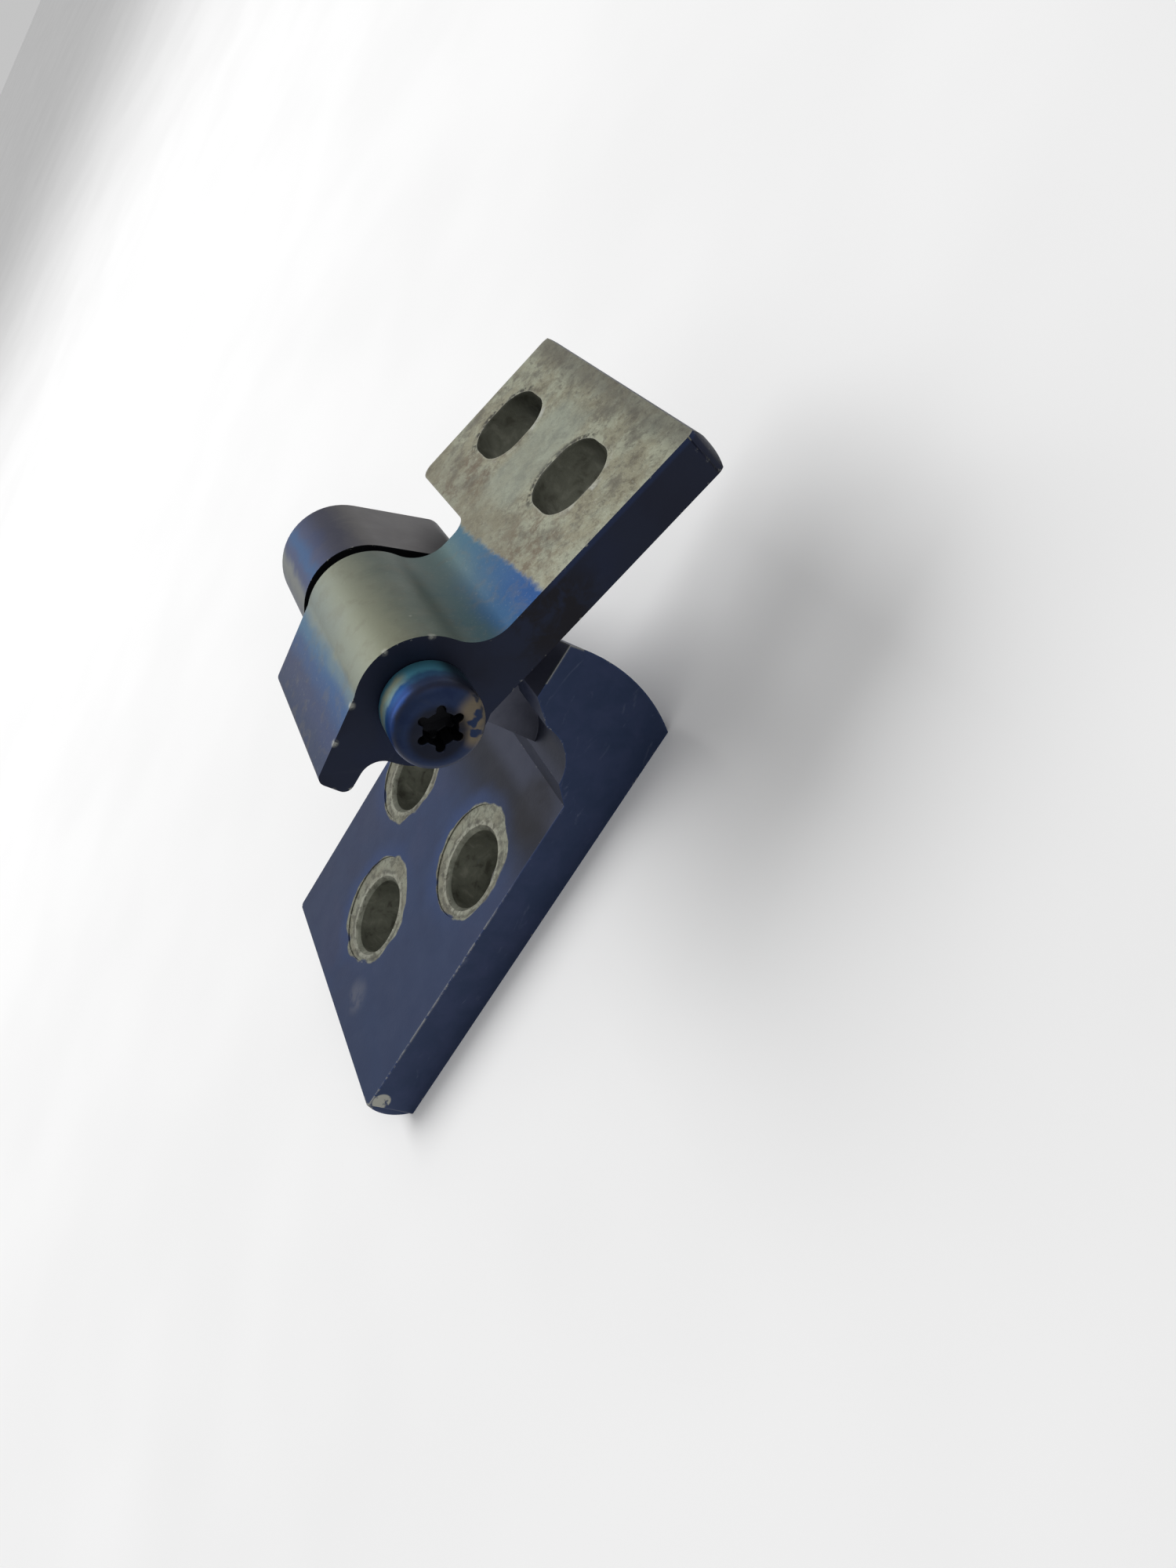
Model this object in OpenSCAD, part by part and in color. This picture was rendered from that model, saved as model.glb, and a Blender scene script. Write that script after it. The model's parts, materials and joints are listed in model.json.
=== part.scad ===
// Tilt mount: a slotted camera arm hinged on a drilled base bracket.
// Millimetres. +Z up. X is the hinge axis, +X towards the screw head.
// Origin: centre of the flat underside of the base bracket.

/* [Base bracket] */
// width of the base plate along the hinge axis
base_w = 42.5; // [30:0.5:60]
// length of the flat underside
base_l = 57.9; // [45:0.1:80]
// thickness of the base plate
base_t = 6.3; // [4:0.1:10]
// height of the pad at the hinge end
pad_h = 16.8; // [12:0.1:22]
// radius of the rounded hinge-end face
end_r = 23.3; // [20:0.1:40]
// angle of the hinge-end face, seen from above
end_skew = 13.5; // [0:0.5:20]
// radius of the hollow in front of the pad
hollow_r = 5.88; // [4:0.01:10]
// corner rounding at the free end
base_corner_r = 0.4; // [0.2:0.1:3]
// radius of the slightly bulging free end, seen from the side
free_r = 6.16; // [4:0.01:20]

/* [Base holes] */
// hole radius
hole_r = 4.9; // [3:0.05:6]
// radius of the spot face round each hole
spot_r = 7.2; // [6:0.05:9]
// depth of the spot face
spot_depth = 0.15; // [0.05:0.05:1.5]
// how far each hole sits off the centre of its spot face, across the base
hole_shift_x = 0.75; // [-1.5:0.05:1.5]
// how far each hole sits off the centre of its spot face, along the base
hole_shift_y = -0.5; // [-1.5:0.05:1.5]
// bevel at the mouth of each hole
hole_lip = 0.5; // [0.1:0.1:1]

/* [Ear] */
// height of the pivot above the underside
pivot_z = 34.5; // [28:0.1:45]
// pivot position along the base
pivot_y = 25.4; // [20:0.1:32]
// radius of the ear and of the arm's knuckle
knuckle_r = 6.4; // [5.5:0.1:9]
// face of the ear next to the arm
ear_near_x = 12.4; // [8:0.1:16]
// far face of the ear
ear_far_x = 0; // [-6:0.1:4]

/* [Arm] */
// near face of the arm, under the screw head
arm_near_x = 34.8; // [30:0.1:42]
// far face of the knuckle and neck
arm_far_x = 14.1; // [10:0.1:20]
// far edge of the wide plate
plate_far_x = -1.9; // [-10:0.1:8]
// angle of the plate below level, as stored
plate_tilt = -13.4; // [-30:0.1:0]
// distance from the pivot to the start of the wide plate
plate_in = 13.0; // [11:0.1:18]
// distance from the pivot to the end of the plate
plate_out = 32.9; // [28:0.1:50]
// drop of the plate's upper face below the pivot
plate_drop = 0.92; // [0:0.01:2]
// thickness of the plate
plate_t = 4.8; // [3:0.1:7]
// corner rounding of the wide plate
plate_corner_r = 1.4; // [0.5:0.1:4]
// bulge of the plate's end face
plate_nose = 0.6; // [0.1:0.1:1.5]
// blend radius between the knuckle and the plate
blend_r = 4.2; // [2:0.1:6]

/* [Slots] */
// slot length along the hinge axis
slot_l = 8.8; // [8.3:0.1:16]
// slot width
slot_w = 8.3; // [4:0.1:10]
// corner radius of a slot
slot_corner_r = 3.4; // [1:0.1:4]
// far slot centre
slot_far_x = 6.15; // [3:0.1:12]
// near slot centre
slot_near_x = 23.7; // [20:0.1:30]
// distance from the pivot to the slot centres
slot_u = 23.2; // [18:0.1:28]

/* [Finger] */
// reach of the finger in front of the pivot
finger_reach = 10.8; // [8:0.1:14]
// height of the finger's tip above the pivot
finger_top = 5.2; // [4:0.1:6]
// height of the finger's underside above the pivot
finger_bottom = 1.8; // [1:0.1:3]
// rounding of the finger's end
finger_r = 0.9; // [0.3:0.1:1.5]

/* [Pivot hardware] */
// screw shank radius
shank_r = 2.5; // [2:0.05:3]
// screw length under the head
screw_l = 35; // [30:1:45]
// screw head radius
head_r = 4.25; // [3.5:0.05:5]
// screw head height
head_h = 5.1; // [3:0.1:6]
// socket depth
socket_depth = 2.6; // [1.5:0.1:3.5]
// outside radius of the pivot bush
bush_r = 3.5; // [3:0.05:4.5]
// outside radius of the thrust washer
washer_r = 5.5; // [4.5:0.1:6.2]
// running clearance on a radius
run_c = 0.05; // [0.02:0.01:0.1]

/* [Hidden] */
$fn = 72;
eps = 0.01;
half_w = base_w / 2;
half_l = base_l / 2;
// the end face's centre is placed so that it meets the underside at half_l on the near side
end_cz = 13.25;
end_cy = half_l - sqrt(end_r * end_r - end_cz * end_cz) / cos(end_skew);
hollow_y = 17.94;
hollow_z = 14.35;
// top front edge of the pad, and the slope of its front wall
pad_y = 26.4;
pad_slope = 1.15;
// the free end's centre is placed so that it meets the underside at -half_l
free_cz = 3.28;
free_cy = -half_l + sqrt(free_r * free_r - free_cz * free_cz);
nose_r = (plate_t * plate_t / 4 + plate_nose * plate_nose) / (2 * plate_nose);
ramp_y0 = 16.2;
// the ramp ends inside the hollow, so that the two meet in a clean edge
ramp_y1 = 19.4;
ramp_z1 = 9.55;
// the ear's rear corner and the flank that is tangent to it and to the ear's round top
heel_r = 2.0;
heel_y = 32.1;
heel_z = 27.6;
heel_lean = 22;
heel_dy = heel_y - pivot_y;
heel_dz = heel_z - pivot_z;
heel_d = sqrt(heel_dy * heel_dy + heel_dz * heel_dz);
flank = atan2(heel_dz, heel_dy) + acos((knuckle_r - heel_r) / heel_d);
// the blend between knuckle and plate, in the plate's own axes
blend_v = blend_r - plate_drop;
blend_u = sqrt(pow(knuckle_r + blend_r, 2) - blend_v * blend_v);
blend_k = knuckle_r / (knuckle_r + blend_r);
// the fillet under the finger
nook_r = 2.1;
nook_z = finger_bottom - nook_r;
nook_y = -sqrt(pow(knuckle_r + nook_r, 2) - nook_z * nook_z);
nook_k = knuckle_r / (knuckle_r + nook_r);
gap = ear_near_x - arm_far_x;
holes = [[-2.0, -15.5], [11.0, 1.5], [-13.7, 0.3]];

// Turns a drawing in (Y, Z) into a solid between two X positions.
module along_x(x0, x1) {
  translate([x0, 0, 0])
    rotate([90, 0, 90])
      linear_extrude(x1 - x0)
        children();
}

module rod_x(x0, x1, r) {
  translate([x0, 0, 0])
    rotate([0, 90, 0])
      cylinder(r = r, h = x1 - x0);
}

module base_profile() {
  difference() {
    polygon([
      [free_cy, 0],
      [40, 0],
      [40, pad_h],
      [pad_y, pad_h],
      [pad_y - 3.9, pad_h - 3.9 * pad_slope],
      [ramp_y1, ramp_z1],
      [ramp_y0, base_t],
      [free_cy, base_t]
    ]);
    translate([hollow_y, hollow_z])
      circle(r = hollow_r);
  }
  intersection() {
    translate([free_cy, free_cz])
      circle(r = free_r);
    translate([free_cy - 10, 0])
      square([10 + eps, base_t]);
  }
}

// What is cut away to leave the rounded, skewed hinge end.
module end_trim() {
  translate([half_w, end_cy, 0])
    rotate([0, 0, end_skew])
      difference() {
        translate([-70, 8, -1])
          cube([90, 60, pad_h + 2]);
        translate([0, 0, end_cz])
          rod_x(-80, 30, end_r);
      }
}

module ear_profile() {
  translate([pivot_y, pivot_z])
    circle(r = knuckle_r);
  translate([heel_y, heel_z])
    circle(r = heel_r);
  polygon([
    [pivot_y, pivot_z],
    [pivot_y + knuckle_r * cos(flank), pivot_z + knuckle_r * sin(flank)],
    [heel_y + heel_r * cos(flank), heel_z + heel_r * sin(flank)],
    [heel_y, heel_z],
    [heel_y + heel_r * cos(-heel_lean), heel_z + heel_r * sin(-heel_lean)],
    [heel_y + heel_r * cos(-heel_lean) - (heel_z - 10) * tan(heel_lean), 10],
    [pivot_y - knuckle_r, 5],
    [pivot_y - knuckle_r, pivot_z]
  ]);
}

module base_end_corners() {
  for (s = [-1, 1])
    translate([s * (half_w - base_corner_r), -half_l + base_corner_r, -1])
      difference() {
        translate([s > 0 ? 0 : -base_corner_r - 1, -base_corner_r - 1, 0])
          cube([base_corner_r + 1, base_corner_r + 1, base_t + 2]);
        translate([0, 0, -1])
          cylinder(r = base_corner_r, h = base_t + 4);
      }
}

module base_bracket() {
  color([0.24, 0.24, 0.42])
    difference() {
      union() {
        difference() {
          along_x(-half_w, half_w)
            base_profile();
          end_trim();
        }
        along_x(ear_far_x, ear_near_x)
          ear_profile();
      }
      base_end_corners();
      for (h = holes) {
        translate([h[0], h[1], base_t - spot_depth])
          cylinder(r = spot_r, h = 4);
        translate([h[0] + hole_shift_x, h[1] + hole_shift_y, -1])
          cylinder(r = hole_r, h = base_t + 4);
        translate([h[0] + hole_shift_x, h[1] + hole_shift_y, base_t - spot_depth - hole_lip])
          cylinder(r1 = hole_r, r2 = hole_r + hole_lip + 0.2, h = hole_lip + 0.2);
      }
      translate([0, pivot_y, pivot_z])
        rod_x(ear_far_x - 1, ear_near_x + 1, shank_r + run_c);
    }
}

// Knuckle, neck and finger seen along the hinge, with the pivot at the origin.
module arm_profile() {
  circle(r = knuckle_r);
  rotate(plate_tilt) {
    translate([0, -plate_drop - plate_t])
      square([plate_in + 4, plate_t]);
    difference() {
      polygon([
        [0, -plate_drop - 1],
        [blend_u, -plate_drop - 1],
        [blend_u, -plate_drop],
        [blend_u, blend_v],
        [blend_u * blend_k, blend_v * blend_k]
      ]);
      translate([blend_u, blend_v])
        circle(r = blend_r);
    }
  }
  finger_profile();
}

module finger_profile() {
  difference() {
    union() {
      polygon([
        [0, 0],
        [0.7, knuckle_r - 0.04],
        [-finger_reach + finger_r, finger_top],
        [-finger_reach + finger_r, finger_bottom],
        [nook_y, finger_bottom],
        [nook_y, nook_z],
        [nook_y * nook_k, nook_z * nook_k]
      ]);
      translate([-finger_reach, finger_bottom + finger_r])
        square([finger_r + eps, finger_top - finger_bottom - 2 * finger_r]);
      translate([-finger_reach + finger_r, finger_bottom + finger_r])
        circle(r = finger_r);
      translate([-finger_reach + finger_r, finger_top - finger_r])
        circle(r = finger_r);
    }
    translate([nook_y, nook_z])
      circle(r = nook_r);
  }
}

module rounded_rect(w, l, r) {
  square([w - 2 * r, l], center = true);
  square([w, l - 2 * r], center = true);
  for (sx = [-1, 1], sy = [-1, 1])
    translate([sx * (w / 2 - r), sy * (l / 2 - r)])
      circle(r = r);
}

module wide_plate() {
  translate([0, 0, -plate_drop - plate_t])
    intersection() {
      translate([(arm_near_x + plate_far_x) / 2, (plate_in + plate_out + plate_nose) / 2, 0])
        linear_extrude(plate_t)
          rounded_rect(
            arm_near_x - plate_far_x, plate_out + plate_nose - plate_in, plate_corner_r);
      along_x(plate_far_x - 1, arm_near_x + 1) {
        translate([plate_in - 1, -1])
          square([plate_out - plate_in - 1, plate_t + 2]);
        translate([plate_out + plate_nose - nose_r, plate_t / 2])
          circle(r = nose_r);
      }
    }
}

// Fills the inside corner between the neck and the wide plate.
module notch_fillet() {
  r = 1.6;
  translate([arm_far_x - r, plate_in - r, -plate_drop - plate_t])
    difference() {
      cube([r + 1, r + 1, plate_t]);
      translate([0, 0, -1])
        cylinder(r = r, h = plate_t + 2);
    }
}

module slot(x) {
  translate([x, slot_u, -plate_drop - plate_t - 1])
    linear_extrude(plate_t + 2)
      rounded_rect(slot_l, slot_w, slot_corner_r);
}

module tilt_arm() {
  color([0.45, 0.55, 0.6])
    translate([0, pivot_y, pivot_z])
      difference() {
        union() {
          along_x(arm_far_x, arm_near_x)
            arm_profile();
          rotate([plate_tilt, 0, 0]) {
            wide_plate();
            notch_fillet();
            translate([arm_near_x - 4, plate_in - 2, -plate_drop - plate_t])
              cube([4, 6, plate_t]);
          }
        }
        rotate([plate_tilt, 0, 0]) {
          slot(slot_far_x);
          slot(slot_near_x);
        }
        rod_x(arm_far_x - 1, arm_near_x + 1, bush_r + run_c / 2);
      }
}

module socket_star() {
  circle(r = 1.6);
  for (a = [0 : 60 : 300])
    rotate(a) {
      translate([0, -0.42])
        square([1.83, 0.84]);
      translate([1.83, 0])
        circle(r = 0.42, $fn = 24);
    }
}

module pivot_screw() {
  x0 = arm_near_x + run_c;
  color([0.2, 0.3, 0.45])
    translate([0, pivot_y, pivot_z])
      difference() {
        union() {
          translate([x0, 0, 0])
            rotate([0, 90, 0])
              rotate_extrude()
                polygon([
                  [0, 0],
                  [head_r - 0.2, 0],
                  [head_r, 0.2],
                  [head_r, head_h - 1.1],
                  [head_r - 0.08, head_h - 0.68],
                  [head_r - 0.32, head_h - 0.32],
                  [head_r - 0.68, head_h - 0.08],
                  [head_r - 1.1, head_h],
                  [0, head_h]
                ]);
          translate([x0, 0, 0])
            rotate([0, -90, 0])
              rotate_extrude()
                polygon([
                  [0, -1],
                  [shank_r, -1],
                  [shank_r, screw_l - 0.6],
                  [shank_r - 0.6, screw_l],
                  [0, screw_l]
                ]);
        }
        translate([x0 + head_h - socket_depth, 0, 0])
          rotate([0, 90, 0])
            linear_extrude(socket_depth + 1)
              socket_star();
      }
}

module ring_x(x0, x1, ro, ri) {
  translate([0, pivot_y, pivot_z])
    difference() {
      rod_x(x0, x1, ro);
      rod_x(x0 - 1, x1 + 1, ri);
    }
}

module pivot_bush() {
  color([0.7, 0.55, 0.3])
    ring_x(arm_far_x + 0.1, arm_near_x - 0.1, bush_r, shank_r + run_c);
}

module thrust_washer() {
  color([0.12, 0.12, 0.14])
    ring_x(ear_near_x + run_c, arm_far_x - run_c, washer_r, shank_r + run_c);
}

base_bracket();
tilt_arm();
pivot_screw();
pivot_bush();
thrust_washer();
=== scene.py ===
import json
import math
import bmesh
import bpy
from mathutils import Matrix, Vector


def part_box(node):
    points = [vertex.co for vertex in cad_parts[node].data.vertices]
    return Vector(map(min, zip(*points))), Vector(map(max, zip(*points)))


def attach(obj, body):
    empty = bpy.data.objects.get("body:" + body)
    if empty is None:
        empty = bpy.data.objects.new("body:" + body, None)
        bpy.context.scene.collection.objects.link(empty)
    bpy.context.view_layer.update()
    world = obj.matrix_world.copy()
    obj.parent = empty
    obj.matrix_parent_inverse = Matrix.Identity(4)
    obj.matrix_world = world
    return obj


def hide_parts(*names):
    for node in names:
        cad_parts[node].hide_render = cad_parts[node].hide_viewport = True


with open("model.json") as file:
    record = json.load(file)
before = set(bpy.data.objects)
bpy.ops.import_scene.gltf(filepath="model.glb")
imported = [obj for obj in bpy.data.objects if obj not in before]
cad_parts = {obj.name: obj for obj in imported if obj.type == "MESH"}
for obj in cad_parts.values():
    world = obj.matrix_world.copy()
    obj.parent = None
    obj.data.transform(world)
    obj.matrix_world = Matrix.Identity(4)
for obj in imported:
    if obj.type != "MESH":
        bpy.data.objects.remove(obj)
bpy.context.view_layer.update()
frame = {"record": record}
MM = 0.001

# ---------- camera: the photograph's viewpoint ----------
CAMERA_AT = (0.13032, 0.05628, 0.08298)
CAMERA_TURN_DEG = (29.714, 49.873, 55.272)
CAMERA_LENS = 28.73

cam_data = bpy.data.cameras.new("camera")
cam_data.lens = CAMERA_LENS
cam_data.sensor_width = 36.0
cam_data.clip_start = 0.005
cam = bpy.data.objects.new("camera", cam_data)
bpy.context.scene.collection.objects.link(cam)
cam.location = CAMERA_AT
cam.rotation_euler = [math.radians(a) for a in CAMERA_TURN_DEG]
bpy.context.scene.camera = cam
bpy.context.scene.view_settings.view_transform = "Standard"


# ---------- sizes, in millimetres ----------
PIVOT = [v / MM for v in frame["record"]["behaviour"]["joints"][0]["pos_m"]]
BASE_NEAR_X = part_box("base_bracket")[1][0] / MM
ARM_NEAR_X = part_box("tilt_arm")[1][0] / MM
HEAD_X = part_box("pivot_screw")[1][0] / MM
BORES = [[v / MM for v in mount["pos_m"][:2]]
         for mount in frame["record"]["mounts"] if mount["kind"] == "bore"]
BORE_R = 4.9
RING_R = 7.2                    # bare washer marks round the bores
RING_SHIFT = (-0.75, 0.5)       # from a bore's centre to its ring's
BASE_T = 6.3                    # drilled part of the base
PAD_H = 16.8                    # top of the hinge pad
EAR_INNER_X = 12.4              # face of the ear towards the arm
PLATE_TILT = math.radians(-13.4)
PLATE_FACE_V = -0.9             # the camera plate's face, across the plate from the pivot
PLATE_END_U = 31.4              # the plate's end begins this far along the plate
SLOTS = ((6.15, 23.2), (23.7, 23.2))    # centres: X, and distance along the plate
SLOT_REACH = (4.5, 4.6)         # half-sizes of a box that takes in a slot's walls
PAD_CORNER = (-11.0, 20.0, 8.5)     # the pad's skewed end lies past this corner

# worn, stained and darkened places, and the painted shade round the screw's socket: a
# point, its radius and how softly it ends
PAD_CHIPS = (((21.2, 31.6, 16.8), 1.9, 0.8), ((21.2, 29.6, 16.8), 1.0, 1.0))
CORNER_CHIP = ((20.6, -28.4, 6.0), 1.1, 0.5)
EAR_CHIP = ((2.0, 26.5, 40.8), 0.9, 1.2)
BARE_CORNER = ((21.2, -27.9, 5.0), 1.05, 0.2)
DARK_PATCH = ((16.3, 12.6, 6.3), 2.2, 3.6)
BASE_SMUDGE = ((5.5, -24.5, 6.3), 0.9, 2.2)
PLATE_RUST = (((7.5, 40.5, 30.0), 2.0, 6.0), ((27.0, 40.0, 30.0), 2.0, 7.0))
ARM_SOOT = ((34.8, 37.5, 28.0), 2.0, 5.0)
ARM_KNOCKS = [(at, 0.10, 0.42) for at in (
    (34.7, 28.1, 40.3), (34.7, 31.2, 37.2), (34.7, 22.5, 40.4), (34.7, 18.7, 40.0))]
HEAD_WEAR = (((HEAD_X, PIVOT[1] + 2.6, PIVOT[2] - 2.2), 1.0, 1.3),
             ((HEAD_X, PIVOT[1] + 0.8, PIVOT[2] - 3.2), 0.5, 1.3))
SOCKET_SHADE = ((HEAD_X, PIVOT[1] - 0.5, PIVOT[2]), 2.2, 0.9)

# chips and worn rims show this much brighter metal
CHIP_ON_BASE = (150, 150, 142)
CHIP_ON_ARM = (158, 159, 150)


def tone(r, g, b):
    """A colour given as 0-255 display values, as the shader wants it."""
    def linear(v):
        v = v / 255.0
        return v / 12.92 if v <= 0.04045 else ((v + 0.055) / 1.055) ** 2.4
    return (linear(r), linear(g), linear(b), 1.0)


class Paint:
    """Builds one procedural metal from positions in millimetres."""

    def __init__(self, name, metallic, specular=0.5):
        self.mat = bpy.data.materials.new(name)
        self.mat.use_nodes = True
        self.tree = self.mat.node_tree
        self.bsdf = self.tree.nodes["Principled BSDF"]
        self.bsdf.inputs["Metallic"].default_value = metallic
        self.bsdf.inputs["Specular IOR Level"].default_value = specular
        coord = self.new("ShaderNodeTexCoord")
        scale = self.new("ShaderNodeVectorMath", operation="SCALE")
        self.put(scale.inputs[0], coord.outputs["Object"])
        scale.inputs["Scale"].default_value = 1 / MM
        self.pos = scale.outputs[0]
        self.x, self.y, self.z = self.split(self.pos)
        self.nx, self.ny, self.nz = self.split(coord.outputs["Normal"])

    def new(self, kind, **settings):
        node = self.tree.nodes.new(kind)
        for key, value in settings.items():
            setattr(node, key, value)
        return node

    def put(self, socket, value):
        if isinstance(value, bpy.types.NodeSocket):
            self.tree.links.new(value, socket)
        else:
            socket.default_value = value

    def split(self, vector):
        node = self.new("ShaderNodeSeparateXYZ")
        self.put(node.inputs[0], vector)
        return node.outputs

    def op(self, kind, a, b=0.0):
        node = self.new("ShaderNodeMath", operation=kind)
        self.put(node.inputs[0], a)
        self.put(node.inputs[1], b)
        return node.outputs[0]

    def add(self, a, b):
        return self.op("ADD", a, b)

    def sub(self, a, b):
        return self.op("SUBTRACT", a, b)

    def mul(self, a, b, *more):
        out = self.op("MULTIPLY", a, b)
        for item in more:
            out = self.op("MULTIPLY", out, item)
        return out

    def most(self, a, b):
        return self.op("MAXIMUM", a, b)

    def flip(self, a):
        return self.op("SUBTRACT", 1.0, a)

    def step(self, value, low, high):
        """0 below low and 1 above high; the other way round if low > high."""
        node = self.new("ShaderNodeMapRange", interpolation_type="SMOOTHSTEP")
        self.put(node.inputs[0], value)
        backwards = low > high
        node.inputs[1].default_value = min(low, high)
        node.inputs[2].default_value = max(low, high)
        node.inputs[3].default_value = 1.0 if backwards else 0.0
        node.inputs[4].default_value = 0.0 if backwards else 1.0
        return node.outputs[0]

    def band(self, value, middle, half, soft):
        """1 within half of middle, fading over soft."""
        away = self.op("ABSOLUTE", self.sub(value, middle))
        return self.step(away, half + soft, half)

    def noise(self, size, detail=3.0, rough=0.55, warp=0.0, stretch=(1, 1, 1), seed=0.0):
        """Cloudy 0-1 noise with features of about size millimetres."""
        mapping = self.new("ShaderNodeMapping")
        self.put(mapping.inputs["Vector"], self.pos)
        mapping.inputs["Location"].default_value = (seed, seed * 1.7, -seed * 0.6)
        mapping.inputs["Scale"].default_value = [s / size for s in stretch]
        node = self.new("ShaderNodeTexNoise")
        self.put(node.inputs["Vector"], mapping.outputs[0])
        node.inputs["Scale"].default_value = 1.0
        node.inputs["Detail"].default_value = detail
        node.inputs["Roughness"].default_value = rough
        node.inputs["Distortion"].default_value = warp
        return node.outputs[0]

    def pits(self, size, seed):
        """Distance to the nearest of scattered points, size millimetres apart."""
        mapping = self.new("ShaderNodeMapping")
        self.put(mapping.inputs["Vector"], self.pos)
        mapping.inputs["Location"].default_value = (seed, seed, seed)
        mapping.inputs["Scale"].default_value = [1 / size] * 3
        node = self.new("ShaderNodeTexVoronoi")
        self.put(node.inputs["Vector"], mapping.outputs[0])
        node.inputs["Scale"].default_value = 1.0
        return node.outputs["Distance"]

    def mix(self, fac, a, b):
        """Colour a where fac is 0, and b where it is 1."""
        node = self.new("ShaderNodeMix", data_type="RGBA")
        self.put(node.inputs["Factor"], fac)
        self.put(node.inputs[6], a)
        self.put(node.inputs[7], b)
        return node.outputs[2]

    def ramp(self, value, stops):
        """Colour along value; stops are (value, colour), in rising order."""
        first, last = stops[0][0], stops[-1][0]
        scaled = self.new("ShaderNodeMapRange")
        self.put(scaled.inputs[0], value)
        scaled.inputs[1].default_value = first
        scaled.inputs[2].default_value = last
        node = self.new("ShaderNodeValToRGB")
        node.color_ramp.interpolation = "EASE"
        self.put(node.inputs[0], scaled.outputs[0])
        dots = node.color_ramp.elements
        while len(dots) < len(stops):
            dots.new(0.5)
        for dot, (where, colour) in zip(dots, stops):
            dot.position = (where - first) / (last - first)
            dot.color = colour
        return node.outputs[0]

    def spot(self, a, b, at_a, at_b):
        """Distance in millimetres from the line a = at_a, b = at_b."""
        da = self.sub(a, at_a)
        db = self.sub(b, at_b)
        return self.op("SQRT", self.add(self.mul(da, da), self.mul(db, db)))

    def pivot_turn(self):
        """Degrees round the pivot: 0 towards +Y and 90 up, with its seam straight down."""
        over = self.sub(self.z, PIVOT[2])
        along = self.sub(self.y, PIVOT[1])
        from_top = self.mul(self.op("ARCTAN2", along, over), 180 / math.pi)
        return self.sub(90.0, from_top)

    def blobs(self, places):
        """1 inside any of several balls."""
        out = self.blob(*places[0])
        for place in places[1:]:
            out = self.most(out, self.blob(*place))
        return out

    def blob(self, at, radius, soft):
        """1 inside a ball at a point in millimetres."""
        node = self.new("ShaderNodeVectorMath", operation="DISTANCE")
        self.put(node.inputs[0], self.pos)
        node.inputs[1].default_value = at
        return self.step(node.outputs["Value"], radius + soft, radius)

    def edges(self, reach):
        """About 1 on convex and concave edges, fading over reach millimetres."""
        bevel = self.new("ShaderNodeBevel", samples=6)
        bevel.inputs["Radius"].default_value = reach * MM
        true = self.new("ShaderNodeNewGeometry")
        dot = self.new("ShaderNodeVectorMath", operation="DOT_PRODUCT")
        self.put(dot.inputs[0], bevel.outputs[0])
        self.put(dot.inputs[1], true.outputs["True Normal"])
        return self.step(dot.outputs["Value"], 0.995, 0.8)

    def finish(self, colour, rough, height, depth=0.02):
        """Connects the colour, the roughness and a relief of depth millimetres."""
        self.put(self.bsdf.inputs["Base Color"], colour)
        self.put(self.bsdf.inputs["Roughness"], rough)
        bump = self.new("ShaderNodeBump")
        bump.inputs["Strength"].default_value = 1.0
        bump.inputs["Distance"].default_value = depth * MM
        self.put(bump.inputs["Height"], height)
        self.put(self.bsdf.inputs["Normal"], bump.outputs[0])
        return self.mat


def bare_steel(p, seed):
    """Mottled uncoated steel: colour, roughness and relief."""
    cloud = p.noise(4.2, 6.0, 0.68, 0.25, seed=seed)
    patch = p.noise(1.9, 5.0, 0.72, 0.15, seed=seed + 2)
    grain = p.noise(0.7, 4.0, 0.70, 0.3, seed=seed + 4)
    fine = p.noise(0.26, 2.0, 0.6, seed=seed + 9)
    colour = p.ramp(cloud, [
        (0.30, tone(104, 99, 82)),
        (0.44, tone(133, 131, 112)),
        (0.56, tone(146, 148, 130)),
        (0.70, tone(136, 140, 124))])
    colour = p.mix(p.mul(p.step(patch, 0.54, 0.34), 0.38), colour, tone(92, 88, 76))
    colour = p.mix(p.mul(p.step(patch, 0.56, 0.76), 0.30), colour, tone(150, 152, 138))
    dirt = p.step(grain, 0.52, 0.32)
    colour = p.mix(p.mul(dirt, 0.55), colour, tone(80, 76, 66))
    shine = p.step(fine, 0.56, 0.72)
    colour = p.mix(p.mul(shine, 0.3), colour, tone(164, 165, 152))
    rough = p.add(0.40, p.mul(grain, 0.22))
    relief = p.add(p.mul(grain, 0.6), p.add(p.mul(fine, 0.3), p.mul(patch, 0.5)))
    return colour, rough, relief


def dark_bore(p, seed=0.0):
    """Rough inside of the holes and slots."""
    cloud = p.noise(1.8, 4.0, 0.6, 0.5, seed=seed + 21)
    return p.ramp(cloud, [
        (0.30, tone(84, 84, 74)),
        (0.50, tone(112, 114, 102)),
        (0.72, tone(136, 137, 124))])


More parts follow.
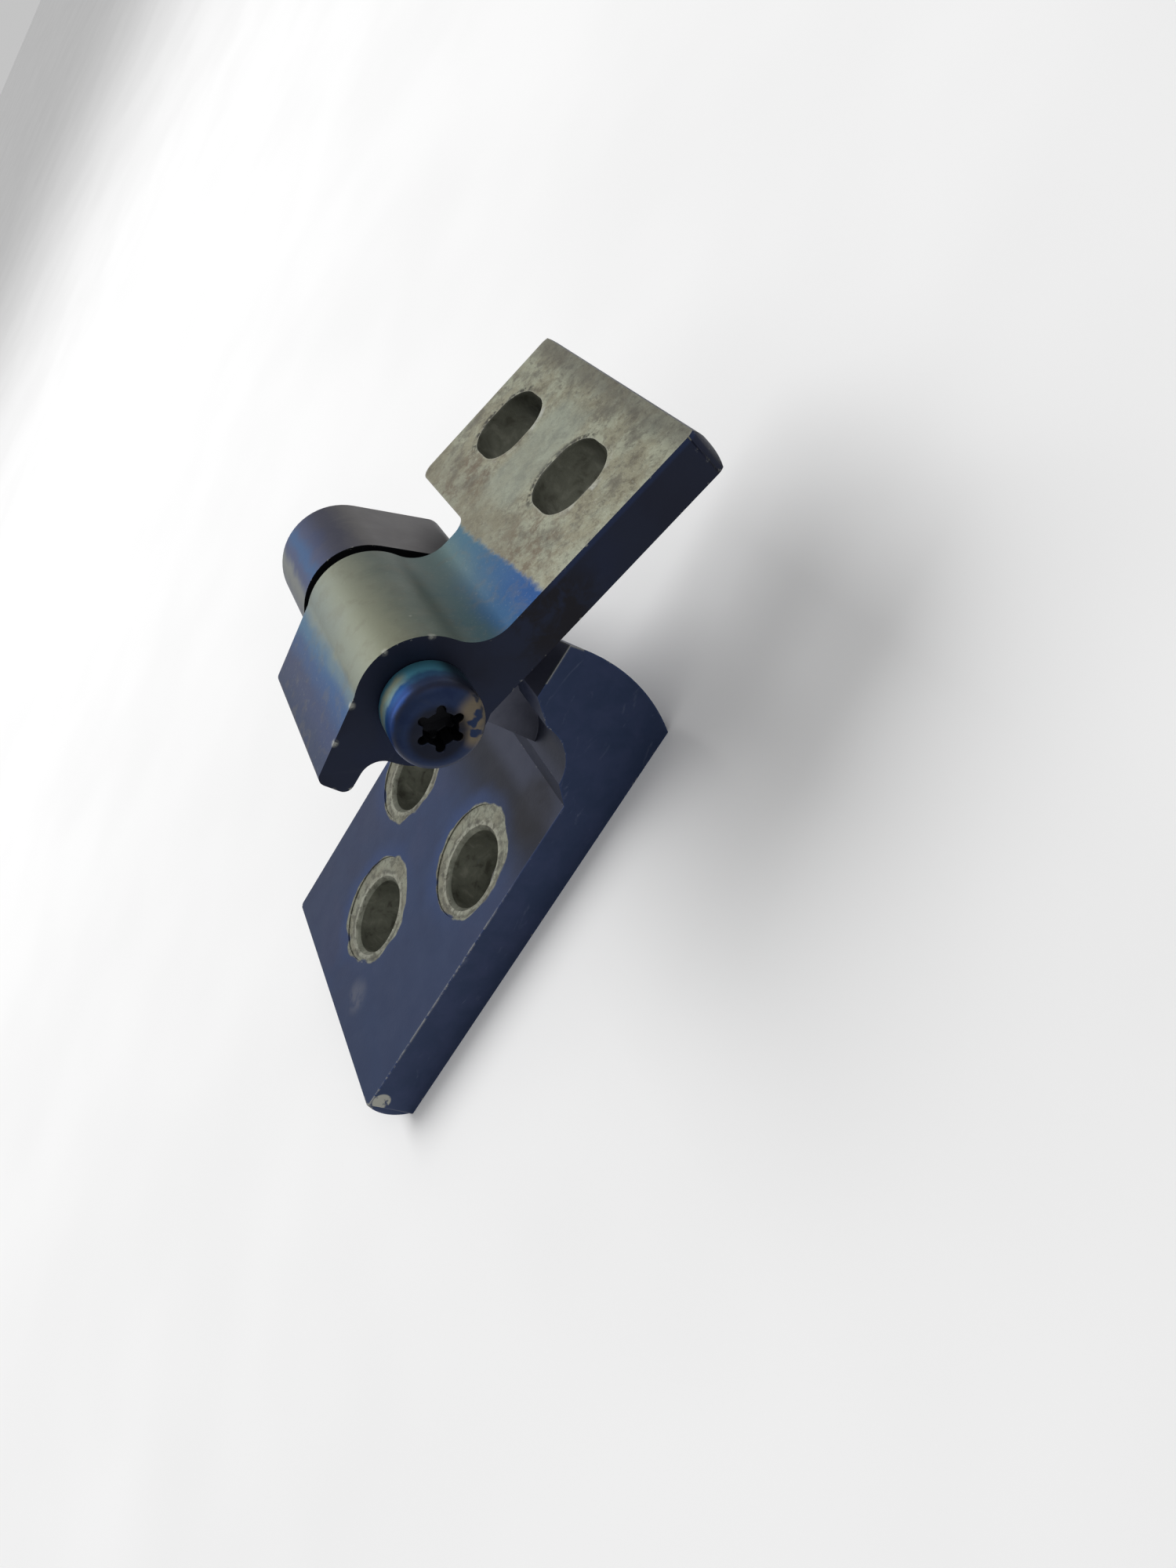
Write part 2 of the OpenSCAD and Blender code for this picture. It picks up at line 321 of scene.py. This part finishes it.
# ---------- base bracket ----------
def base_paint():
    p = Paint("blued_steel_base", 0.70, 0.3)
    big = p.noise(14.0, 3.0, 0.5, 0.4)
    mid = p.noise(3.5, 4.0, 0.6, 0.3, seed=3)
    fine = p.noise(0.35, 3.0, 0.6, seed=6)
    up = p.step(p.nz, 0.5, 0.9)
    side = p.step(p.nx, 0.5, 0.9)

    # oxide tint: dark slate blue in clouds, greyer towards the far side
    tint = p.ramp(big, [
        (0.32, tone(34, 44, 72)),
        (0.48, tone(28, 43, 73)),
        (0.62, tone(31, 42, 69)),
        (0.75, tone(37, 43, 68))])
    tint = p.mix(p.mul(p.step(p.x, 0.0, -18.0), 0.5), tint, tone(38, 46, 68))
    tint = p.mix(p.mul(p.step(mid, 0.45, 0.70), 0.35), tint, tone(36, 44, 69))
    tint = p.mix(p.mul(p.step(fine, 0.60, 0.75), 0.15), tint, tone(66, 74, 101))
    # the near side faces: painted lighter than the top as painted light, and a little
    # bluer
    tint = p.mix(p.mul(side, 0.8), tint, p.ramp(mid, [
        (0.3, tone(43, 55, 81)),
        (0.7, tone(52, 62, 90))]))

    # deeper blue towards the near free corner, and the arm's shadow painted on the top
    # near the hinge
    blue = p.mul(p.step(p.x, -8.0, 14.0), p.step(p.y, 6.0, -8.0), up)
    tint = p.mix(p.mul(blue, 0.7), tint, tone(29, 43, 71))
    shade = p.mul(p.step(p.y, 2.0, 11.0), p.step(p.z, 13.0, 9.0), up)
    tint = p.mix(p.mul(shade, 0.92), tint, tone(13, 15, 24))

    # the ear: tint bands that run round the pivot
    turn = p.add(p.pivot_turn(), p.mul(p.sub(mid, 0.5), 22.0))
    ear = p.ramp(turn, [
        (-90, tone(72, 72, 78)),
        (-20, tone(89, 87, 88)),
        (25, tone(86, 84, 85)),
        (52, tone(60, 61, 77)),
        (72, tone(52, 60, 88)),
        (86, tone(40, 72, 110)),
        (98, tone(58, 68, 98)),
        (112, tone(114, 117, 115)),
        (135, tone(88, 93, 102)),
        (170, tone(55, 65, 88)),
        (230, tone(66, 70, 84)),
        (270, tone(72, 72, 78))])
    on_ear = p.mul(p.step(p.z, 24.0, 28.0), p.flip(side))
    colour = p.mix(on_ear, tint, ear)
    inner_face = p.mul(side, p.step(p.x, EAR_INNER_X + 1.1, EAR_INNER_X + 0.4))
    # painted shadow: the ear's face towards the arm, dark above its root where the arm
    # shades it
    colour = p.mix(p.mul(inner_face, p.step(p.z, 20.0, 24.0)), colour, tone(15, 16, 20))
    root = p.mul(inner_face, p.step(p.z, 22.0, 18.0))
    colour = p.mix(p.mul(root, 0.9), colour, p.ramp(mid, [
        (0.3, tone(86, 88, 100)),
        (0.7, tone(102, 104, 116))]))

    # the hollow, a dark patch before it, the smudge near the free end, the pad's top
    hollow = p.mul(p.band(p.y, 18.5, 4.5, 2.5), p.band(p.z, 11.0, 4.5, 2.0),
                   p.flip(side))
    colour = p.mix(p.mul(hollow, 0.55), colour, tone(52, 56, 72))
    dark_patch = p.mul(p.blob(*DARK_PATCH), p.add(0.3, mid))
    colour = p.mix(p.mul(dark_patch, 0.85), colour, tone(18, 18, 24))
    smudge = p.mul(p.blob(*BASE_SMUDGE), p.step(mid, 0.36, 0.58))
    colour = p.mix(p.mul(smudge, 0.42), colour, tone(90, 92, 100))
    on_pad = p.mul(up, p.band(p.z, PAD_H, 0.3, 0.4))
    colour = p.mix(p.mul(on_pad, 0.8), colour, tone(90, 92, 108))

    # bare rings round the bores, with a blue halo outside
    bare, bare_rough, bare_relief = bare_steel(p, seed=2.0)
    ragged = p.mul(p.sub(p.noise(3.0, 1.6, 0.5, seed=8), 0.5), 2.0)
    crumble = p.sub(p.noise(2.0, 3.0, 0.62, seed=19), 0.5)
    ring = halo = line = lip = inner = in_bore = 0.0
    for bore_x, bore_y in BORES:
        hole_x, hole_y = bore_x + RING_SHIFT[0], bore_y + RING_SHIFT[1]
        away = p.spot(p.x, p.y, bore_x, bore_y)
        rough_away = p.add(p.spot(p.x, p.y, hole_x, hole_y), ragged)
        west = p.step(p.sub(p.x, hole_x), 6.0, -8.0)
        glow = p.mul(p.step(rough_away, RING_R + 3.2, RING_R),
                     p.add(0.12, p.mul(west, 0.88)))
        ring = p.most(ring, p.step(rough_away, RING_R + 0.35, RING_R + 0.05))
        halo = p.most(halo, glow)
        groove = p.band(p.add(away, p.mul(ragged, 0.7)), BORE_R + 1.15, 0.10, 0.30)
        line = p.most(line, groove)
        mouth = p.add(away, p.mul(crumble, 1.5))
        lip = p.most(lip, p.band(mouth, BORE_R + 0.62, 0.20, 0.30))
        in_bore = p.most(in_bore, p.step(away, BORE_R + 1.1, BORE_R + 0.9))
        inner = p.most(inner, p.step(mouth, BORE_R + 0.42, BORE_R + 0.26))
    below = p.step(p.z, BASE_T + 0.3, BASE_T + 0.1)
    halo = p.mul(halo, up, below, 0.55)
    colour = p.mix(halo, colour, tone(34, 55, 96))
    off_sides = p.most(in_bore, p.step(p.z, BASE_T - 0.45, BASE_T - 0.25))
    ring = p.mul(ring, below, off_sides)
    sweep = p.noise(1.1, 4.0, 0.7, 0.8, seed=17)
    ring_tone = p.mix(0.55, bare, tone(78, 79, 72))
    grime = p.mul(p.step(sweep, 0.54, 0.38), 0.6)
    ring_tone = p.mix(grime, ring_tone, tone(58, 57, 50))
    groove_line = p.mul(line, p.step(crumble, -0.12, 0.10), 0.5)
    ring_tone = p.mix(groove_line, ring_tone, tone(48, 46, 42))
    bright_lip = p.mul(lip, p.step(sweep, 0.36, 0.56), 0.45)
    ring_tone = p.mix(bright_lip, ring_tone, tone(138, 139, 128))
    colour = p.mix(ring, colour, ring_tone)
    colour = p.mix(p.mul(inner, ring), colour, dark_bore(p))

    # wear: bright chips along the edges, more of them at the worn places
    rim = p.edges(0.45)
    chip_noise = p.noise(0.9, 3.0, 0.7, seed=12)
    worn_spots = p.blobs(PAD_CHIPS + (CORNER_CHIP, EAR_CHIP))
    chips = p.mul(rim, p.step(p.add(chip_noise, p.mul(worn_spots, 0.35)), 0.60, 0.68))
    corner = p.mul(p.blob(*BARE_CORNER), p.step(chip_noise, 0.3, 0.42))
    specks = p.mul(p.step(p.pits(7.0, 3.3), 0.03, 0.018), 0.7)
    chips = p.most(p.most(chips, corner), specks)
    streaks = p.noise(2.2, 4.0, 0.65, 1.0, stretch=(0.4, 0.4, 1.4), seed=15)
    scuffs = p.mul(side, p.step(streaks, 0.60, 0.74))
    colour = p.mix(p.mul(scuffs, 0.30), colour, tone(104, 112, 130))
    near_line = p.mul(rim, p.step(p.x, BASE_NEAR_X - 0.9, BASE_NEAR_X - 0.3))
    nicks = p.mul(near_line, p.step(p.y, 8.0, -4.0), p.band(p.z, BASE_T, 0.3, 0.3))
    chips = p.most(chips, p.mul(nicks, p.step(chip_noise, 0.42, 0.56), 0.75))
    colour = p.mix(p.mul(near_line, p.add(0.15, mid), 0.7), colour, tone(53, 71, 112))
    colour = p.mix(chips, colour, tone(*CHIP_ON_BASE))

    rough = p.add(0.42, p.mul(mid, 0.16))
    rough = p.mix(ring, rough, bare_rough)
    relief = p.add(p.mul(fine, 0.35), p.mul(mid, 0.25))
    relief = p.add(relief, p.mul(ring, bare_relief, 0.8))
    relief = p.sub(relief, p.mul(chips, 0.6))
    return p.finish(colour, rough, relief, 0.03)


# ---------- tilting arm ----------
def arm_paint():
    p = Paint("blued_steel_arm", 0.65, 0.3)
    over = p.sub(p.z, PIVOT[2])
    along = p.sub(p.y, PIVOT[1])
    cos_t, sin_t = math.cos(PLATE_TILT), math.sin(PLATE_TILT)
    u = p.add(p.mul(along, cos_t), p.mul(over, sin_t))
    v = p.sub(p.mul(over, cos_t), p.mul(along, sin_t))
    mid = p.noise(3.2, 4.0, 0.6, 0.4, seed=31)
    big = p.noise(9.0, 3.0, 0.5, 0.3, seed=33)
    fine = p.noise(0.35, 3.0, 0.6, seed=36)
    near = p.step(p.x, 14.0, ARM_NEAR_X)
    side = p.step(p.nx, 0.5, 0.9)

    # tint bands across the arm's top, from the plate to the finger
    wave = p.add(u, p.mul(p.sub(mid, 0.5), 1.6))
    wave = p.sub(wave, p.mul(near, 0.6))
    far_band = p.ramp(wave, [
        (-11.0, tone(35, 48, 76)),
        (-8.4, tone(46, 56, 84)),
        (-6.6, tone(46, 70, 106)),
        (-5.0, tone(62, 96, 122)),
        (-3.2, tone(112, 121, 116)),
        (1.7, tone(122, 126, 110)),
        (5.4, tone(84, 95, 88)),
        (7.6, tone(84, 102, 100)),
        (9.6, tone(80, 103, 104)),
        (12.0, tone(58, 94, 112))])
    near_band = p.ramp(wave, [
        (-11.0, tone(35, 48, 76)),
        (-8.4, tone(44, 57, 90)),
        (-5.6, tone(40, 74, 116)),
        (-4.2, tone(88, 108, 118)),
        (-3.2, tone(118, 124, 112)),
        (1.7, tone(124, 127, 108)),
        (5.2, tone(82, 94, 86)),
        (7.0, tone(54, 84, 92)),
        (9.0, tone(28, 74, 112)),
        (12.6, tone(16, 66, 120))])
    band = p.mix(near, far_band, near_band)
    smudge = p.step(p.noise(2.2, 4.0, 0.62, 0.5, seed=38), 0.50, 0.66)
    band = p.mix(p.mul(smudge, 0.22), band, tone(96, 92, 78))
    band = p.mix(p.mul(p.step(fine, 0.58, 0.74), 0.12), band, tone(156, 160, 150))

    # the plate's bare face
    bare, bare_rough, bare_relief = bare_steel(p, seed=5.0)
    rust = p.mul(p.blobs(PLATE_RUST),
                 p.step(p.noise(1.7, 5.0, 0.7, 0.2, seed=41), 0.42, 0.62))
    face = p.mix(p.mul(rust, 0.70), bare, tone(90, 72, 57))
    end_band = p.mul(p.step(u, 29.6, 32.0),
                     p.add(0.25, p.noise(1.2, 4.0, 0.7, 0.4, seed=44)))
    face = p.mix(p.mul(end_band, 0.75), face, tone(84, 82, 76))
    stain_noise = p.step(p.noise(2.4, 5.0, 0.68, 0.3, seed=47), 0.44, 0.62)
    halo = 0.0
    for slot_x, slot_u in SLOTS:
        away = p.add(p.spot(p.x, u, slot_x, slot_u), p.mul(p.sub(mid, 0.5), 2.0))
        halo = p.most(halo, p.band(away, 7.6, 0.5, 1.1))
    face = p.mix(p.mul(halo, stain_noise, 0.65), face, tone(84, 80, 72))
    calm = p.mul(p.band(p.x, 15.3, 2.6, 2.0), p.band(u, 23.0, 4.5, 3.0))
    foot = p.mul(p.step(u, 20.0, 14.5), p.step(p.x, 36.0, 22.0), p.add(0.25, mid))
    face = p.mix(p.mul(foot, 0.55), face, tone(96, 91, 77))
    crumbs = p.step(p.noise(0.8, 4.0, 0.7, seed=49), 0.44, 0.56)
    for slot_x, slot_u in SLOTS:
        rim_at = p.band(p.spot(p.x, u, slot_x, slot_u), 4.60, 0.35, 0.50)
        dark_side = p.mul(rim_at, crumbs, p.step(p.sub(p.x, slot_x), -0.5, -3.0))
        face = p.mix(p.mul(dark_side, 0.9), face, tone(38, 36, 30))
        # the +X rim of each slot: bright burr, with a painted highlight on its bevel
        burr_and_highlight = p.mul(rim_at, p.step(p.sub(p.x, slot_x), 1.8, 3.6),
                            p.step(mid, 0.44, 0.60))
        face = p.mix(p.mul(burr_and_highlight, 0.75), face, tone(168, 170, 162))
    face = p.mix(p.mul(calm, 0.55), face, tone(132, 138, 126))

    top = p.step(p.add(p.nz, p.mul(p.ny, 0.35)), -0.15, 0.25)
    shelf = p.mul(p.band(v, PLATE_FACE_V, 0.25, 0.35), p.step(p.nz, 0.6, 0.9))
    border = p.add(u, p.mul(p.sub(p.noise(1.0, 3.0, 0.6, seed=51), 0.5), 1.2))
    border = p.sub(border, p.mul(near, 1.7))
    on_plate = p.mul(shelf, p.step(border, 12.1, 12.9))

    # tarnish of the sides and underside
    dull = p.ramp(big, [
        (0.30, tone(23, 27, 41)),
        (0.50, tone(26, 32, 49)),
        (0.72, tone(24, 32, 54))])
    dull = p.mix(p.mul(p.step(u, 14.0, 30.0), 0.6), dull, tone(27, 31, 46))
    soot = p.mul(p.blob(*ARM_SOOT), p.step(mid, 0.38, 0.55))
    dull = p.mix(p.mul(soot, 0.75), dull, tone(22, 19, 19))
    fringe = p.mul(side, p.band(v, PLATE_FACE_V - 0.2, 0.15, 0.35), p.step(u, 13.0, 16.0))
    dull = p.mix(p.mul(fringe, 0.5), dull, tone(33, 47, 80))

    not_side = p.mul(p.flip(side), p.step(p.nx, -0.9, -0.5))
    tail = p.step(u, 15.8, 15.0)
    colour = p.mix(p.mul(top, not_side, tail), dull, band)
    colour = p.mix(on_plate, colour, face)
    in_slot = 0.0
    for slot_x, slot_u in SLOTS:
        box = p.mul(p.band(p.x, slot_x, SLOT_REACH[0], 0.2),
                    p.band(u, slot_u, SLOT_REACH[1], 0.2))
        in_slot = p.most(in_slot, box)
    across = p.sub(p.mul(p.nz, cos_t), p.mul(p.ny, sin_t))
    walls = p.mul(in_slot, p.step(p.op("ABSOLUTE", across), 0.7, 0.5))
    slot_tone = p.mix(0.45, dark_bore(p, 6.0), tone(52, 52, 42))
    colour = p.mix(walls, colour, slot_tone)

    # wear
    rim = p.edges(0.5)
    chip_noise = p.noise(0.85, 3.0, 0.7, seed=55)
    knocks = p.blobs(ARM_KNOCKS)
    chips = p.mul(rim, p.step(chip_noise, 0.61, 0.69))
    chips = p.most(chips, p.mul(knocks, p.step(fine, 0.30, 0.55), 0.8))
    bright_rim = p.mul(rim, p.most(on_plate, in_slot), p.add(0.2, mid))
    chips = p.most(p.mul(chips, 0.85), p.mul(bright_rim, 0.5))
    specks = p.step(p.pits(5.0, 7.7), 0.035, 0.02)
    chips = p.most(chips, p.mul(specks, 0.5, p.flip(on_plate), p.flip(side)))
    colour = p.mix(chips, colour, tone(*CHIP_ON_ARM))

    rough = p.add(0.40, p.mul(mid, 0.16))
    rough = p.mix(on_plate, rough, bare_rough)
    relief = p.add(p.mul(fine, 0.35), p.mul(mid, 0.2))
    relief = p.add(relief, p.mul(p.most(on_plate, walls), bare_relief, 1.3))
    relief = p.sub(relief, p.mul(knocks, 0.8))
    return p.finish(colour, rough, relief, 0.03)


# ---------- pivot screw ----------
def screw_paint():
    p = Paint("blued_steel_screw", 0.72, 0.3)
    mid = p.noise(1.6, 4.0, 0.6, 0.4, seed=61)
    fine = p.noise(0.25, 3.0, 0.6, seed=64)

    # tint bands back from the face: deep blue from the top round to -Y, teal towards
    # +Y; the head is also darker on the +Y side and underneath
    reach = p.add(p.sub(HEAD_X, p.x), p.mul(p.sub(mid, 0.5), 1.4))
    ring = p.ramp(reach, [
        (0.2, tone(36, 42, 60)),
        (1.2, tone(6, 50, 108)),
        (2.2, tone(12, 66, 120)),
        (3.0, tone(110, 136, 138)),
        (3.8, tone(140, 150, 132)),
        (4.6, tone(70, 130, 152)),
        (5.2, tone(36, 84, 116))])
    teal = p.ramp(reach, [
        (0.2, tone(36, 40, 58)),
        (1.4, tone(36, 52, 84)),
        (2.4, tone(46, 84, 118)),
        (3.4, tone(76, 138, 160)),
        (4.6, tone(70, 130, 148))])
    turn = p.pivot_turn()
    ring = p.mix(p.step(turn, 72.0, 56.0), ring, teal)
    right = p.most(p.step(turn, 30.0, 0.0), p.step(turn, 205.0, 245.0))
    ring = p.mix(p.mul(right, 0.9), ring, tone(22, 25, 38))
    face_tone = p.ramp(mid, [
        (0.3, tone(22, 35, 64)),
        (0.5, tone(28, 41, 69)),
        (0.75, tone(36, 46, 68))])
    face = p.step(p.nx, 0.55, 0.9)
    colour = p.mix(face, ring, face_tone)

    # worn patch on the rim, brass-like where the oxide is thin
    patch = p.mul(p.blobs(HEAD_WEAR), p.step(p.noise(1.3, 2.0, 0.5, seed=67), 0.40, 0.50))
    colour = p.mix(p.mul(patch, 0.85), colour, tone(104, 94, 76))
    rim = p.edges(0.3)
    wear = p.mul(rim, p.step(p.noise(0.6, 3.0, 0.7, seed=69), 0.5, 0.65))
    colour = p.mix(p.mul(wear, 0.6), colour, tone(116, 120, 124))

    # the socket, painted dark as shade inside it and round it on the face, and the shank
    # inside the joint
    socket = p.mul(p.step(p.spot(p.y, p.z, PIVOT[1], PIVOT[2]), 2.45, 2.3),
                   p.step(p.x, HEAD_X - 0.05, HEAD_X - 0.25))
    socket_shade = p.mul(p.blob(*SOCKET_SHADE), face)
    colour = p.mix(p.mul(socket_shade, 0.8), colour, tone(17, 18, 24))
    colour = p.mix(socket, colour, tone(18, 19, 23))
    colour = p.mix(p.step(reach, 5.3, 5.6), colour, tone(84, 86, 90))

    rough = p.add(0.34, p.mul(mid, 0.18))
    turned = p.noise(0.5, 2.0, 0.5, stretch=(1, 0.2, 0.2), seed=71)
    relief = p.add(p.mul(fine, 0.4), p.mul(turned, 0.3))
    return p.finish(colour, rough, relief, 0.02)


# ---------- hidden running parts ----------
def bush_paint():
    p = Paint("sintered_bronze", 0.9)
    mid = p.noise(1.2, 4.0, 0.6, seed=81)
    fine = p.noise(0.2, 3.0, 0.6, seed=84)
    colour = p.ramp(mid, [
        (0.3, tone(128, 96, 58)),
        (0.55, tone(150, 116, 72)),
        (0.75, tone(116, 88, 58))])
    oil = p.step(p.pits(0.45, 2.0), 0.22, 0.12)
    colour = p.mix(p.mul(oil, 0.6), colour, tone(70, 54, 38))
    rough = p.add(0.32, p.mul(mid, 0.2))
    return p.finish(colour, rough, p.sub(fine, oil), 0.015)


def washer_paint():
    p = Paint("rubbed_steel_washer", 0.8)
    away = p.spot(p.y, p.z, PIVOT[1], PIVOT[2])
    mid = p.noise(1.4, 4.0, 0.6, seed=91)
    lay = p.noise(0.5, 3.0, 0.6, seed=94)
    rings = p.op("SINE", p.mul(p.add(away, p.mul(lay, 0.15)), 26.0))
    colour = p.ramp(mid, [
        (0.3, tone(58, 60, 64)),
        (0.55, tone(78, 80, 82)),
        (0.75, tone(66, 64, 62))])
    colour = p.mix(p.mul(p.step(rings, 0.2, 0.9), 0.2), colour, tone(120, 121, 120))
    rough = p.add(0.34, p.mul(mid, 0.2))
    return p.finish(colour, rough, p.add(lay, p.mul(rings, 0.3)), 0.01)


# ---------- pieces ----------
BREAK_ANGLE = math.radians(32)  # edges sharper than this are broken
HARD_ANGLE = math.radians(40)   # and these stay hard in the finished shading
FLAT_ANGLE = math.radians(0.5)  # facets that differ by less are one face
TWIN_M = 4e-6                   # points closer than this become one
SLIVER_M = 2e-6                 # edges shorter than this are dissolved


def shade(mesh, angle):
    """Smooth shading, where edges sharper than angle stay hard."""
    for face in mesh.polygons:
        face.use_smooth = True
    mesh.set_sharp_from_angle(angle=angle)


def soften(node, body, width, material, left_sharp, merge=0.001):
    """A copy of a CAD node with its sharp edges broken by width, in place of the node.

    Points closer than merge are joined first. Edges where left_sharp(middle) is
    true are not broken. All lengths are in millimetres.
    """
    source = bpy.data.objects[node]
    mesh = source.data.copy()
    mesh.name = node + "_finished"
    edit = bmesh.new()
    edit.from_mesh(mesh)
    bmesh.ops.remove_doubles(edit, verts=edit.verts, dist=merge * MM)
    bmesh.ops.dissolve_limit(edit, angle_limit=FLAT_ANGLE, verts=edit.verts,
                             edges=edit.edges)
    bmesh.ops.recalc_face_normals(edit, faces=edit.faces)
    weight = edit.edges.layers.float.new("bevel_weight_edge")
    for edge in edit.edges:
        middle = (edge.verts[0].co + edge.verts[1].co) / 2 / MM
        sharp = edge.is_manifold and edge.calc_face_angle() > BREAK_ANGLE
        edge[weight] = 1.0 if sharp and not left_sharp(middle) else 0.0
    edit.to_mesh(mesh)
    edit.free()
    shade(mesh, BREAK_ANGLE)
    piece = bpy.data.objects.new(node + "_finished", mesh)
    bpy.context.scene.collection.objects.link(piece)
    bevel = piece.modifiers.new("edge_break", "BEVEL")
    bevel.width = width * MM
    bevel.segments = 2
    bevel.limit_method = "WEIGHT"
    graph = bpy.context.evaluated_depsgraph_get()
    done = bpy.data.meshes.new_from_object(piece.evaluated_get(graph))

    # the bevelled mesh, cleaned of slivers and many-sided faces
    piece.modifiers.clear()
    piece.data = done
    bpy.data.meshes.remove(mesh)
    done.name = node + "_finished"
    edit = bmesh.new()
    edit.from_mesh(done)
    bmesh.ops.remove_doubles(edit, verts=edit.verts, dist=TWIN_M)
    bmesh.ops.dissolve_degenerate(edit, edges=edit.edges, dist=SLIVER_M)
    bmesh.ops.triangulate(edit, faces=[f for f in edit.faces if len(f.verts) > 4],
                          ngon_method="BEAUTY")
    edit.to_mesh(done)
    edit.free()
    shade(done, HARD_ANGLE)
    even = piece.modifiers.new("even_shading", "WEIGHTED_NORMAL")
    even.keep_sharp = True
    even.weight = 80
    done.materials.clear()
    done.materials.append(material)
    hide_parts(node)
    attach(piece, body)


def pad_corner(at):
    """The hidden corner where the pad's skewed end meets the ear."""
    return at.x < PAD_CORNER[0] and at.y > PAD_CORNER[1] and at.z > PAD_CORNER[2]


def plate_end(at):
    """The end of the camera plate, past its slots."""
    along = (at.y - PIVOT[1]) * math.cos(PLATE_TILT)
    return along + (at.z - PIVOT[2]) * math.sin(PLATE_TILT) > PLATE_END_U


soften("base_bracket", "base", 0.25, base_paint(), pad_corner)
soften("tilt_arm", "arm", 0.28, arm_paint(), plate_end, merge=0.05)
soften("pivot_screw", "base", 0.12, screw_paint(), lambda at: False)
for node, material in (("pivot_bush", bush_paint()), ("thrust_washer", washer_paint())):
    bpy.data.objects[node].material_slots[0].material = material

# ---------- floor and light, in metres ----------
SKY_STRENGTH = 0.55
AIM = Vector((0.0, 0.01, 0.02))     # the middle of the object

bpy.ops.mesh.primitive_plane_add(size=8)
floor = bpy.context.object
floor.name = "floor"
pale = Paint("pale_floor", 0.0, 0.2)
soft = pale.noise(60.0, 2.0)
floor_tone = pale.ramp(soft, [
    (0.3, tone(236, 236, 236)),
    (0.7, tone(240, 240, 240))])
floor.data.materials.append(pale.finish(floor_tone, 0.8, soft, 0.001))

world = bpy.data.worlds.new("studio")
bpy.context.scene.world = world
world.use_nodes = True
sky = world.node_tree.nodes["Background"]
sky.inputs["Color"].default_value = (1.0, 1.0, 1.0, 1.0)
sky.inputs["Strength"].default_value = SKY_STRENGTH


def softbox(name, at, watts, size):
    """A square area light that points at AIM."""
    data = bpy.data.lights.new(name, "AREA")
    data.energy = watts
    data.size = size
    lamp = bpy.data.objects.new(name, data)
    bpy.context.scene.collection.objects.link(lamp)
    lamp.location = at
    lamp.rotation_euler = (AIM - Vector(at)).to_track_quat("-Z", "Y").to_euler()


softbox("key", at=(-0.45, -0.10, 0.75), watts=5.0, size=0.7)
softbox("fill", at=(0.55, 0.50, 0.35), watts=0.6, size=0.5)
